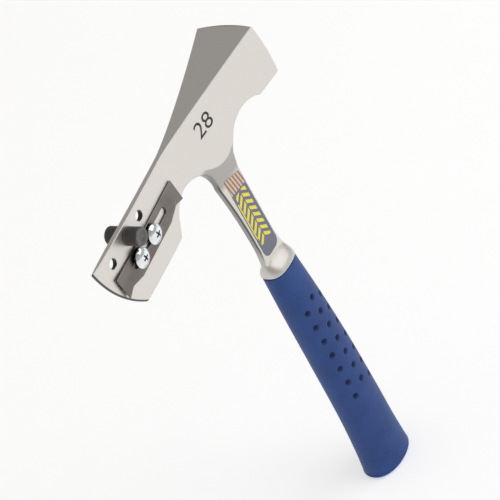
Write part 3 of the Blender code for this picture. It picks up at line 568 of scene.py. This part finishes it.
def grip_levels():
    """Height, half width, half thickness, shift and power of each ring, from the butt to the bore's floor."""
    levels = []
    half_width, half_thickness, shift = grip_size(1.0)
    for step in range(9):
        turn = math.pi / 2 * step / 8
        back, rise = GRIP_EDGE * (1 - math.sin(turn)), GRIP_EDGE * (1 - math.cos(turn))
        levels.append((grip_low.z + rise, half_width - back, half_thickness - back, shift, GRIP_POWER))
    for row in range(1, ROWS):
        share = 1 - row / ROWS
        height = grip_high.z - share * GRIP_LENGTH
        if height > grip_low.z + GRIP_EDGE and share * GRIP_LENGTH > LIP_CLEAR:
            levels.append((height, *grip_size(share), GRIP_POWER))
    half_width, half_thickness, shift = grip_size(0.0)
    for step in range(4):
        turn = math.pi / 2 * step / 3
        back, drop = LIP * (1 - math.cos(turn)), LIP * (1 - math.sin(turn))
        levels.append((grip_high.z - drop, half_width - back, half_thickness - back, shift, GRIP_POWER))
    levels.append((grip_high.z, *BORE, 0.0, BORE_POWER))
    levels.append((grip_low.z + BORE_FLOOR, *BORE, 0.0, BORE_POWER))
    return levels


def grip_mesh():
    built = bmesh.new()
    depth = built.verts.layers.float.new("hollow")
    rings = []
    for height, wide, thick, shift, power in grip_levels():
        ring = []
        for index in range(AROUND):
            x, y = oval_point(2 * math.pi * index / AROUND, wide, thick, power)
            ring.append(built.verts.new((x + shift, y, height)))
        rings.append(ring)
    outside = rings[:-2]
    press_dimples([corner for ring in outside for corner in ring], depth)
    connect(built, rings)
    return built


add_piece("vinyl_grip", grip_mesh(), [VINYL], "hatchet", ["grip"], crease=50)

# %% [markdown]
# ## Turned pieces
# The gauge's knobs and the cutter's screws come off a lathe, so each is a profile turned about an
# axis. The lathe below also takes a relief: a function that says how deep the tool bit at each angle
# and height. That one function gives knurls and screw threads as real shape.

# %% A lathe with relief
SAME = 1e-6  # metres; two radii closer than this are one


def stretch(start, stop, step):
    """Profile points from start up to but without stop, no further apart than step."""
    length = math.dist(start, stop)
    count = max(1, math.ceil(length / step))
    return [tuple(a + (b - a) * index / count for a, b in zip(start, stop)) for index in range(count)]


def lathe(profile, segments, relief, closed=False):
    """A solid from (radius, height) points about Z; a radius of 0 ends on the axis."""
    built = bmesh.new()
    rings = []
    for radius, height in profile:
        if radius == 0:
            rings.append([built.verts.new((0, 0, height))] * segments)
            continue
        ring = []
        for index in range(segments):
            turn = 2 * math.pi * index / segments
            reach = radius - relief(turn, radius, height)
            ring.append(built.verts.new((reach * math.cos(turn), reach * math.sin(turn), height)))
        rings.append(ring)
    pairs = list(zip(rings, rings[1:])) + ([(rings[-1], rings[0])] if closed else [])
    for low, high in pairs:
        for index in range(segments):
            following = (index + 1) % segments
            corners = [low[index], low[following], high[following], high[index]]
            face = list(dict.fromkeys(corners))
            if len(face) > 2:
                built.faces.new(face)
    return built


def wave(position):
    """A triangle wave: 0 on whole numbers and 1 halfway between them."""
    return 1 - abs(2 * (position % 1.0) - 1)


def thread(radius, pitch, depth):
    """Relief of a V thread on a shaft of that radius."""
    def bite(turn, reach, height):
        return depth * wave(height / pitch - turn / (2 * math.pi)) if abs(reach - radius) < SAME else 0.0
    return bite


print("lathe ready")

# %% [markdown]
# ## Shingle gauge
# A knurled screw passes through one of three holes near the blade's top edge, and a knurled nut holds
# it from the far side. The knurl is two crossing sets of helical grooves. A bump texture would
# vanish at the knob's outline, so the grooves are cut by the lathe's relief. The steel is blackened,
# with painted shade in the knurl's grooves and a painted highlight on its high points.

# %% Finish: blackened steel
KNOB_RADIUS = (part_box("gauge_screw")[1].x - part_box("gauge_screw")[0].x) / 2


def blackened(name, low, high, roughness):
    steel = Finish(name, metallic=0.75)
    cloud = steel.noise(steel.place, 260.0, 3.0)
    fine = steel.noise(steel.place, 1800.0, 2.0)
    steel.set(base_color=steel.mix((0.6 * cloud + 0.4 * fine).rise(0.3, 0.7), low, high))
    steel.set(roughness=roughness + 0.16 * (cloud - 0.5))
    steel.bump(fine, 0.015 * MM, 0.5)
    return steel.material


def knurled_black():
    """Painted shade in the grooves and a painted highlight on the points: the points stand furthest from the
    axis.
    """
    steel = Finish("knurled_black_oxide", metallic=0.75, roughness=0.4)
    flat = steel.stretched(1, 1, 0)
    reach = steel.node("ShaderNodeVectorMath", {"operation": "LENGTH"}, {0: flat}, "Value")
    fine = steel.noise(steel.place, 1800.0, 2.0)
    # A painted highlight on the knurl's points and painted shade in its grooves.
    painted_knurl_light = reach.rise(KNOB_RADIUS - 0.4 * MM, KNOB_RADIUS - 0.05 * MM) * (0.5 + 0.5 * fine)
    steel.set(base_color=steel.mix(painted_knurl_light, (0.004, 0.004, 0.004), (0.21, 0.20, 0.195)))
    steel.bump(fine, 0.015 * MM, 0.5)
    return steel.material


BLACK = knurled_black()
# A lighter grey for the knob's outer end.
LIGHT_END_BLACK = blackened("light_end_black_oxide", (0.085, 0.083, 0.082), (0.17, 0.165, 0.16), 0.30)
print("finishes:", BLACK.name, LIGHT_END_BLACK.name)

# %% Knurl and stud thread
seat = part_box("gauge_nut")[0].y  # from the blade's middle to a knob's inner face
tip = -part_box("gauge_screw")[0].y
STUD_RADIUS = 3.0 * MM
STUD_PITCH = 1.27 * MM
STUD_THREAD = 0.35 * MM
KNURL_COUNT = 26
KNURL_DEPTH = 0.5 * MM
KNURL_MARGIN = 0.9 * MM


def knurl(turn, reach, height):
    """Depth of the two crossing groove sets on the knob's cylinder."""
    if abs(reach - KNOB_RADIUS) > SAME:
        return 0.0
    side = abs(height)
    fade = min(1.0, max(0.0, min(side - seat, tip - side) / KNURL_MARGIN - 0.4))
    around = turn / (2 * math.pi) * KNURL_COUNT
    pitch = 2 * math.pi * KNOB_RADIUS / KNURL_COUNT
    left, right = wave(around + height / pitch), wave(around - height / pitch)
    return KNURL_DEPTH * fade * max(1 - 2.4 * left, 1 - 2.4 * right, 0.0)


def knob_and_stud(turn, reach, height):
    return knurl(turn, reach, height) + thread(STUD_RADIUS, STUD_PITCH, STUD_THREAD)(turn, reach, height)


print("knurl:", KNURL_COUNT, "grooves each way, from", round(seat / MM, 2), "to", round(tip / MM, 2), "mm")

# %% Gauge screw and nut
STUD_CHAMFER = 0.5 * MM
STUD_SHORT = 1.0 * MM  # the stud ends this far inside the nut's outer face
KNURL_STEP = 0.26 * MM
KNOB_SEGMENTS = 238
KNOB_CHAMFER = 0.4 * MM
KNOB_RIM = 0.8 * MM
BORE_CLEARANCE = 0.3 * MM
# The screw's outer end, from its rim to its axis: inward from the knob's radius, back from the tip
END_STEPS = ((0, 0.8), (0.25, 0.3), (0.8, 0), (1.8, 0), (2.2, 0.12), (3.0, 0.5), (4.2, 0.72))


def screw_profile():
    end = STUD_SHORT - tip
    profile = stretch((0, end), (STUD_RADIUS - STUD_CHAMFER, end), 1 * MM)
    profile += stretch((STUD_RADIUS - STUD_CHAMFER, end), (STUD_RADIUS, end + STUD_CHAMFER), 1 * MM)
    profile += stretch((STUD_RADIUS, end + STUD_CHAMFER), (STUD_RADIUS, seat), 0.2 * MM)
    profile += [(STUD_RADIUS, seat), (KNOB_RADIUS - KNOB_CHAMFER, seat)]
    profile += stretch((KNOB_RADIUS, seat + KNOB_CHAMFER), (KNOB_RADIUS, tip - KNOB_RIM), KNURL_STEP)
    profile += [(KNOB_RADIUS - inward * MM, tip - back * MM) for inward, back in END_STEPS]
    return profile + [(0, tip - KNOB_RIM)]


def nut_profile():
    bore = STUD_RADIUS + BORE_CLEARANCE
    profile = [(bore, -seat), (bore, 0.3 * MM - tip), (bore + 0.3 * MM, -tip)]
    profile += [(KNOB_RADIUS - 0.8 * MM, -tip), (KNOB_RADIUS - 0.25 * MM, 0.3 * MM - tip)]
    profile += stretch((KNOB_RADIUS, KNOB_RIM - tip), (KNOB_RADIUS, -seat - KNOB_CHAMFER), KNURL_STEP)
    return profile + [(KNOB_RADIUS, -seat - KNOB_CHAMFER), (KNOB_RADIUS - KNOB_CHAMFER, -seat)]


def lighten_end(knob):
    """Gives the knob's outer end the lighter grey finish, which is the piece's second."""
    for face in knob.faces:
        if all(corner.co.z > tip - 0.82 * MM and corner.co.xy.length < KNOB_RADIUS - 0.2 * MM
               for corner in face.verts):
            face.material_index = 1


gauge_place = Matrix.Translation(GAUGE_PLACE) @ OUTWARD
knob = lathe(screw_profile(), KNOB_SEGMENTS, knob_and_stud)
lighten_end(knob)
add_piece("gauge_knob", knob, [BLACK, LIGHT_END_BLACK], "gauge_screw",
          ["gauge_screw"], gauge_place, crease=40)
add_piece("gauge_nut_knob", lathe(nut_profile(), KNOB_SEGMENTS, knurl, closed=True), [BLACK], "gauge_nut",
          ["gauge_nut"], gauge_place, crease=40)

# %% [markdown]
# ## Shingle cutter
# The cutter is a stamped plate of tempered tool steel with a long slot, so that it can be set in or
# out and then clamped. Its lower edge is ground to a shallow bevel. The frame's plate already has the
# right outline, so the front face's rim is drawn back along that edge, which leaves the bevel, and
# the bevel's faces get a brighter ground finish.

# %% Finish: tempered and ground tool steel
def tempered(name, low, high, roughness):
    steel = Finish(name, metallic=1.0)
    cloud = steel.noise(steel.place, 70.0, 4.0)
    along, up = steel.across(ALONG), steel.across(UP)
    line_place = steel.node("ShaderNodeCombineXYZ", None, {"X": along * 60, "Y": up * 1500, "Z": up * 0})
    lines = steel.noise(line_place, 1.0, 2.0)
    steel.set(base_color=steel.mix(cloud.rise(0.3, 0.7), low, high))
    steel.set(roughness=roughness + 0.14 * (cloud - 0.5) + 0.08 * (lines - 0.5))
    steel.bump(lines, 0.006 * MM, 0.6)
    return steel.material


TEMPERED = tempered("tempered_steel", (0.155, 0.140, 0.130), (0.215, 0.195, 0.182), 0.36)
TEMPERED_GROUND = tempered("ground_bevel", (0.150, 0.125, 0.110), (0.22, 0.19, 0.165), 0.30)
print("finishes:", TEMPERED.name, TEMPERED_GROUND.name)

# %% Cutter plate
BEVEL = 1.7 * MM
GROUND_BELOW = 12.5 * MM  # the plate's ground edge lies further than this below its top
ON_FACE = 0.01 * MM
cutter_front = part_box("cutter_blade")[0].y
cutter_top = max(corner.co.dot(UP) for corner in frame["nodes"]["cutter_blade"].data.vertices)
plate = welded("cutter_blade")
for corner in plate.verts:
    if corner.co.y < cutter_front + ON_FACE and cutter_top - corner.co.dot(UP) > GROUND_BELOW:
        corner.co += UP * BEVEL
for face in plate.faces:
    face.normal_update()
    if face.normal.dot(UP) < -0.05 and abs(face.normal.y) > 0.9:
        face.material_index = 1
add_piece("cutter_plate", plate, [TEMPERED, TEMPERED_GROUND], "cutter",
          ["cutter_blade"], crease=6)

# %% [markdown]
# ## Cutter screws and washers
# Two bright zinc screws with cross recesses clamp the cutter, each over a black toothed washer. A
# screw is turned on the lathe with its thread as relief, and the recess is carved by a Boolean with
# two tapered arms. The Boolean is applied at once, so that no hidden tool stays in the scene.

# %% Finish: bright zinc
def bright_zinc():
    zinc = Finish("bright_zinc", metallic=1.0)
    cloud = zinc.noise(zinc.place, 320.0, 3.0)
    zinc.set(base_color=zinc.mix(cloud.rise(0.3, 0.7), (0.70, 0.74, 0.77), (0.90, 0.92, 0.93)))
    zinc.set(roughness=0.10 + 0.12 * cloud)
    zinc.bump(cloud, 0.05 * MM, 0.35)
    return zinc.material


ZINC = bright_zinc()
# The recess's darker colour is painted shade.
RECESS_SHADE = blackened("recess_painted_shade", (0.16, 0.18, 0.19), (0.30, 0.33, 0.34), 0.42)
print("finishes:", ZINC.name, RECESS_SHADE.name)

# %% Carving
def carved(built, tools):
    """The solid with each tool cut out of it, in order."""
    body = bpy.data.objects.new("blank", bpy.data.meshes.new("blank"))
    bpy.context.scene.collection.objects.link(body)
    built.to_mesh(body.data)
    helpers = []
    for tool in tools:
        helper = bpy.data.objects.new("tool", bpy.data.meshes.new("tool"))
        bpy.context.scene.collection.objects.link(helper)
        bmesh.ops.recalc_face_normals(tool, faces=tool.faces)
        tool.to_mesh(helper.data)
        boolean = body.modifiers.new("carve", "BOOLEAN")
        boolean.object = helper
        boolean.solver = "EXACT"
        helpers.append(helper)
    result = bpy.data.meshes.new_from_object(body.evaluated_get(bpy.context.evaluated_depsgraph_get()))
    for leftover in helpers + [body]:
        bpy.data.objects.remove(leftover)
    carving = bmesh.new()
    carving.from_mesh(result)
    return carving


print("carving ready")

# %% Cross recess
HEAD_HEIGHT = 3.4 * MM
RECESS_REACH = 2.9 * MM
RECESS_WIDTH = 1.3 * MM
RECESS_DEPTH = 1.9 * MM
screw_seat = -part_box("cutter_screw_front")[0].y - HEAD_HEIGHT


def recess_tools():
    """Two crossing arms, wider at the mouth than at the floor."""
    tools = []
    for crosswise in (False, True):
        tool = bmesh.new()
        rings = []
        for share, height in ((0.4, -RECESS_DEPTH), (1.0, 0.2 * MM), (1.4, 1.5 * MM)):
            reach, half = RECESS_REACH * share, RECESS_WIDTH / 2 * (0.6 + 0.4 * share)
            ring = [(reach, half), (-reach, half), (-reach, -half), (reach, -half)]
            level = screw_seat + HEAD_HEIGHT + height
            spots = [(-y, x, level) if crosswise else (x, y, level) for x, y in ring]
            rings.append([tool.verts.new(spot) for spot in spots])
        connect(tool, rings)
        tools.append(tool)
    return tools


print("recess:", round(RECESS_DEPTH / MM, 1), "mm deep, seat at", round(screw_seat / MM, 2), "mm")

# %% Screws
HEAD_RADIUS = 6.6 * MM
HEAD_RIM = 0.7 * MM
SHAFT_RADIUS = 2.4 * MM
SHAFT_PITCH = 1.058 * MM
SHAFT_TIP = -1.95 * MM  # flush with the far cheek
SHAFT_CHAMFER = 0.4 * MM
SHAFT_THREAD = 0.3 * MM
DOME_STEPS = 14
SCREW_SEGMENTS = 96
SETTING = {"front": 12, "rear": 20}  # degrees that each screw happens to stop at


def dome_sink(radius):
    """How far the domed head has dropped at a distance from its axis."""
    rise = HEAD_HEIGHT - HEAD_RIM
    dome = (HEAD_RADIUS ** 2 + rise ** 2) / (2 * rise)
    return dome - math.sqrt(dome ** 2 - radius ** 2)


def blank_screw():
    """The turned screw before its recess is cut."""
    profile = [(0, SHAFT_TIP)]
    chamfer_end = SHAFT_TIP + SHAFT_CHAMFER
    profile += stretch((SHAFT_RADIUS - SHAFT_CHAMFER, SHAFT_TIP), (SHAFT_RADIUS, chamfer_end), 1 * MM)
    profile += stretch((SHAFT_RADIUS, chamfer_end), (SHAFT_RADIUS, screw_seat), 0.18 * MM)
    profile += [(SHAFT_RADIUS, screw_seat), (HEAD_RADIUS - 0.4 * MM, screw_seat),
                (HEAD_RADIUS, screw_seat + 0.25 * MM)]
    for step in range(DOME_STEPS):
        reach = HEAD_RADIUS * math.cos(math.pi / 2 * step / DOME_STEPS)
        profile.append((reach, screw_seat + HEAD_HEIGHT - dome_sink(reach)))
    profile.append((0, screw_seat + HEAD_HEIGHT))
    turned = lathe(profile, SCREW_SEGMENTS, thread(SHAFT_RADIUS, SHAFT_PITCH, SHAFT_THREAD))
    bmesh.ops.recalc_face_normals(turned, faces=turned.faces)
    return turned


def cutter_screw():
    """A finished screw: its recess gets the duller, darker finish, which is the piece's second; the darker
    colour is painted shade.
    """
    screw = carved(blank_screw(), recess_tools())
    for face in screw.faces:
        middle = face.calc_center_median()
        away = middle.xy.length
        if away < RECESS_REACH * 1.15 and middle.z > screw_seat + 0.5 * MM:
            if middle.z < screw_seat + HEAD_HEIGHT - dome_sink(away) - 0.12 * MM:
                face.material_index = 1
    return screw


for end, setting in SETTING.items():
    spin = Matrix.Rotation(math.radians(setting), 4, "Z")
    place = Matrix.Translation(SCREW_PLACES[end]) @ OUTWARD @ spin
    add_piece(f"zinc_screw_{end}", cutter_screw(), [ZINC, RECESS_SHADE], f"{end}_screw",
              [f"cutter_screw_{end}"], place, crease=32)

# %% [markdown]
# Each washer's teeth are twisted, so that they bite when the screw is driven home. One tooth is a
# short run of angles in which the outer corners are tipped up on one side and down on the other.

# %% Toothed washers
WASHER_RADIUS = 6.1 * MM
WASHER_ROOT = 4.7 * MM
WASHER_TEETH = 14
TOOTH_STEPS = 8
TOOTH_SHARE = 0.62  # of each pitch; the rest is the gap
SHEET = 0.75 * MM
washer_low, washer_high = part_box("lock_washer_front")
WASHER_SPAN = washer_high.y - washer_low.y
washer_middle = -(washer_low.y + washer_high.y) / 2


def washer_mesh():
    count = WASHER_TEETH * TOOTH_STEPS
    bore = SHAFT_RADIUS + BORE_CLEARANCE
    tip_lift = (WASHER_SPAN - SHEET) / 2
    built = bmesh.new()
    loops = [[] for _ in range(6)]
    for index in range(count):
        phase = index % TOOTH_STEPS / TOOTH_STEPS
        turn = 2 * math.pi * index / count
        tooth = phase < TOOTH_SHARE
        outer = WASHER_RADIUS if tooth else WASHER_ROOT + 0.05 * MM
        lift = tip_lift * (2 * phase / TOOTH_SHARE - 1) if tooth else 0.0
        for loop, (reach, height) in enumerate((
                (bore, -SHEET / 2), (WASHER_ROOT, -SHEET / 2), (outer, lift - SHEET / 2),
                (outer, lift + SHEET / 2), (WASHER_ROOT, SHEET / 2), (bore, SHEET / 2))):
            spot = (reach * math.cos(turn), reach * math.sin(turn), washer_middle + height)
            loops[loop].append(built.verts.new(spot))
    for low, high in zip(loops, loops[1:] + loops[:1]):
        for index in range(count):
            following = (index + 1) % count
            built.faces.new((low[index], low[following], high[following], high[index]))
    return built


BLACK_SPRING = blackened("black_spring_steel", (0.010, 0.010, 0.010), (0.028, 0.027, 0.026), 0.45)
for end in ("front", "rear"):
    place = Matrix.Translation(SCREW_PLACES[end]) @ OUTWARD
    add_piece(f"toothed_washer_{end}", washer_mesh(), [BLACK_SPRING], f"{end}_washer",
              [f"lock_washer_{end}"], place, crease=25)

# %% [markdown]
# ## Shank labels
# A printed film is stuck to each flat of the shank. It is thinner than paper, so its solid is only
# drawn back until it touches the steel. The print is all pattern: a field of slate blue, a herringbone
# of yellow bars with a rule beside it, and a striped patch at the top, all plain stand-ins for a real
# label's print. Each is a mask worked out from the place on the film, so its edges stay sharp at any size.

# %% Finish: printed film
label_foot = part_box("shank_label_near")[0].z
CHEVRON_PITCH = 5.6 * MM
CHEVRON_SLOPE = 0.8
CHEVRON_HALF = 6.2 * MM
RULE_HALF = 0.5 * MM
BARS_LOW, BARS_HIGH = 10.5 * MM, 52.5 * MM
RULE_LOW, RULE_HIGH = 17 * MM, 47 * MM
PATCH_LOW = 54.0 * MM
STRIPE_PITCH = 2.9 * MM


def printed_film():
    film = Finish("printed_film", metallic=0.0, roughness=0.34, coat_weight=0.3, coat_roughness=0.2)
    x, z = film.across((1, 0, 0)), film.across((0, 0, 1), (0, 0, label_foot))
    grain = film.noise(film.place, 900.0, 2.0)
    slate = film.mix(grain, (0.125, 0.130, 0.195), (0.165, 0.170, 0.235))

    middle = abs(x + 0.3 * MM)
    chevron = ((z + middle * CHEVRON_SLOPE) / CHEVRON_PITCH).fraction()
    bars = chevron.above(0.48) * middle.below(CHEVRON_HALF)
    gaps = 1 - middle.below(RULE_HALF)
    bars = bars * gaps * (z.above(BARS_LOW) * z.below(BARS_HIGH))
    rule = abs(x + 7.4 * MM).below(RULE_HALF) * z.above(RULE_LOW) * z.below(RULE_HIGH)
    yellow = bars.math("MAXIMUM", bars, rule)
    printed = film.mix(yellow, slate, (0.92, 0.80, 0.045))

    patch = (z + 0.12 * x).above(PATCH_LOW)
    stripe = ((x + 0.16 * z) / STRIPE_PITCH).fraction().above(0.5)
    cloth = film.mix(stripe, (0.74, 0.62, 0.44), (0.33, 0.14, 0.105))
    worn = film.mix(grain.rise(0.35, 0.75) * 0.35, cloth, (0.52, 0.40, 0.30))
    film.set(base_color=film.mix(patch, printed, worn))
    film.bump(grain, 0.01 * MM, 0.4)
    return film.material


FILM = printed_film()
print("finish:", FILM.name)

# %% Label films
LABEL_FILM = 0.25 * MM
SHANK_HALF = 2.7 * MM
FILM_SKIM = 0.01 * MM  # the film's back stands this far off the steel

for end, side in (("near", -1), ("far", 1)):
    film = welded(f"shank_label_{end}")
    inner = min(abs(corner.co.y) for corner in film.verts)
    for corner in film.verts:
        proud = LABEL_FILM if abs(corner.co.y) > inner + 0.05 * MM else FILM_SKIM
        corner.co.y = side * (SHANK_HALF + proud)
    add_piece(f"label_film_{end}", film, [FILM], "hatchet", [f"shank_label_{end}"])

# %% [markdown]
# ## Stage
# The hatchet stands on its butt on a plain pale floor. Polished steel only shows its surroundings, so
# the room matters as much as the lamp: a bright low floor fills the cheek, and a dimmer sky leaves the
# head's top surface a darker grey. The floor also gives off a little light of its own, so that it stays
# pale from every side.

# %% Floor and sky
def pale_floor():
    finish = Finish("pale_floor", roughness=0.7, emission_strength=0.5)
    grain = finish.noise(finish.place, 30.0)
    finish.set(base_color=finish.mix(grain, (0.90, 0.90, 0.90), (0.93, 0.93, 0.93)))
    finish.set(emission_color=(1.0, 1.0, 1.0))
    return finish.material


FLOOR_REACH = 6.0  # metres from the middle to each side
ground = bmesh.new()
bmesh.ops.create_grid(ground, x_segments=1, y_segments=1, size=FLOOR_REACH)
floor_mesh = bpy.data.meshes.new("floor")
ground.to_mesh(floor_mesh)
ground.free()
floor_mesh.materials.append(pale_floor())
floor = bpy.data.objects.new("floor", floor_mesh)
bpy.context.scene.collection.objects.link(floor)
floor.location.z = cad_box[0].z

HORIZON_LIGHT = 0.5
OVERHEAD_LIGHT = 0.37
sky = bpy.data.worlds.new("studio_sky")
bpy.context.scene.world = sky
sky.use_nodes = True
nodes, links = sky.node_tree.nodes, sky.node_tree.links
direction = nodes.new("ShaderNodeTexCoord")
split = nodes.new("ShaderNodeSeparateXYZ")
links.new(direction.outputs["Generated"], split.inputs[0])
shade = nodes.new("ShaderNodeMapRange")
shade.inputs["From Min"].default_value = 0.15
shade.inputs["From Max"].default_value = 0.5
shade.inputs["To Min"].default_value = HORIZON_LIGHT
shade.inputs["To Max"].default_value = OVERHEAD_LIGHT
links.new(split.outputs["Z"], shade.inputs["Value"])
links.new(shade.outputs["Result"], nodes["Background"].inputs["Strength"])
nodes["Background"].inputs["Color"].default_value = (1.0, 0.985, 0.97, 1.0)
print("floor at z =", round(floor.location.z, 4), "m")

# %% Lamp
LAMP_PLACE = Vector((1.2, -1.9, 2.2))
light = bpy.data.lights.new("key_softbox", "AREA")
light.shape = "SQUARE"
light.size = 2.6
light.energy = 26
lamp = bpy.data.objects.new("key_softbox", light)
bpy.context.scene.collection.objects.link(lamp)
lamp.location = LAMP_PLACE
lamp.rotation_euler = (-LAMP_PLACE).to_track_quat("-Z", "Y").to_euler()  # it faces the grip's middle
print("softbox at", tuple(round(value, 2) for value in LAMP_PLACE))

# %% [markdown]
# ## Camera
# The view is a long lens from high on the blade's side, tipped so that the handle leans. A long lens
# keeps the edges of the head nearly parallel, as product views do.

# %% Camera
VIEW_PLACE = Vector((-0.9736, -1.0246, 1.1070))
VIEW_TOWARD = Vector((0.55898, 0.59748, -0.57495))
VIEW_ROLL = math.radians(29.84)
LENS_LENGTH = 194.4  # millimetres, for a sensor 36 mm wide
lens = bpy.data.cameras.new("product_lens")
lens.lens = LENS_LENGTH
lens.sensor_width = 36.0
lens.clip_end = 20.0
camera = bpy.data.objects.new("camera", lens)
bpy.context.scene.collection.objects.link(camera)
turned = VIEW_TOWARD.to_track_quat("-Z", "Y").to_matrix().to_4x4() @ Matrix.Rotation(-VIEW_ROLL, 4, "Z")
camera.matrix_world = Matrix.Translation(VIEW_PLACE) @ turned
bpy.context.scene.camera = camera
bpy.context.scene.view_settings.view_transform = "Standard"
print("camera at", tuple(round(value, 3) for value in VIEW_PLACE))
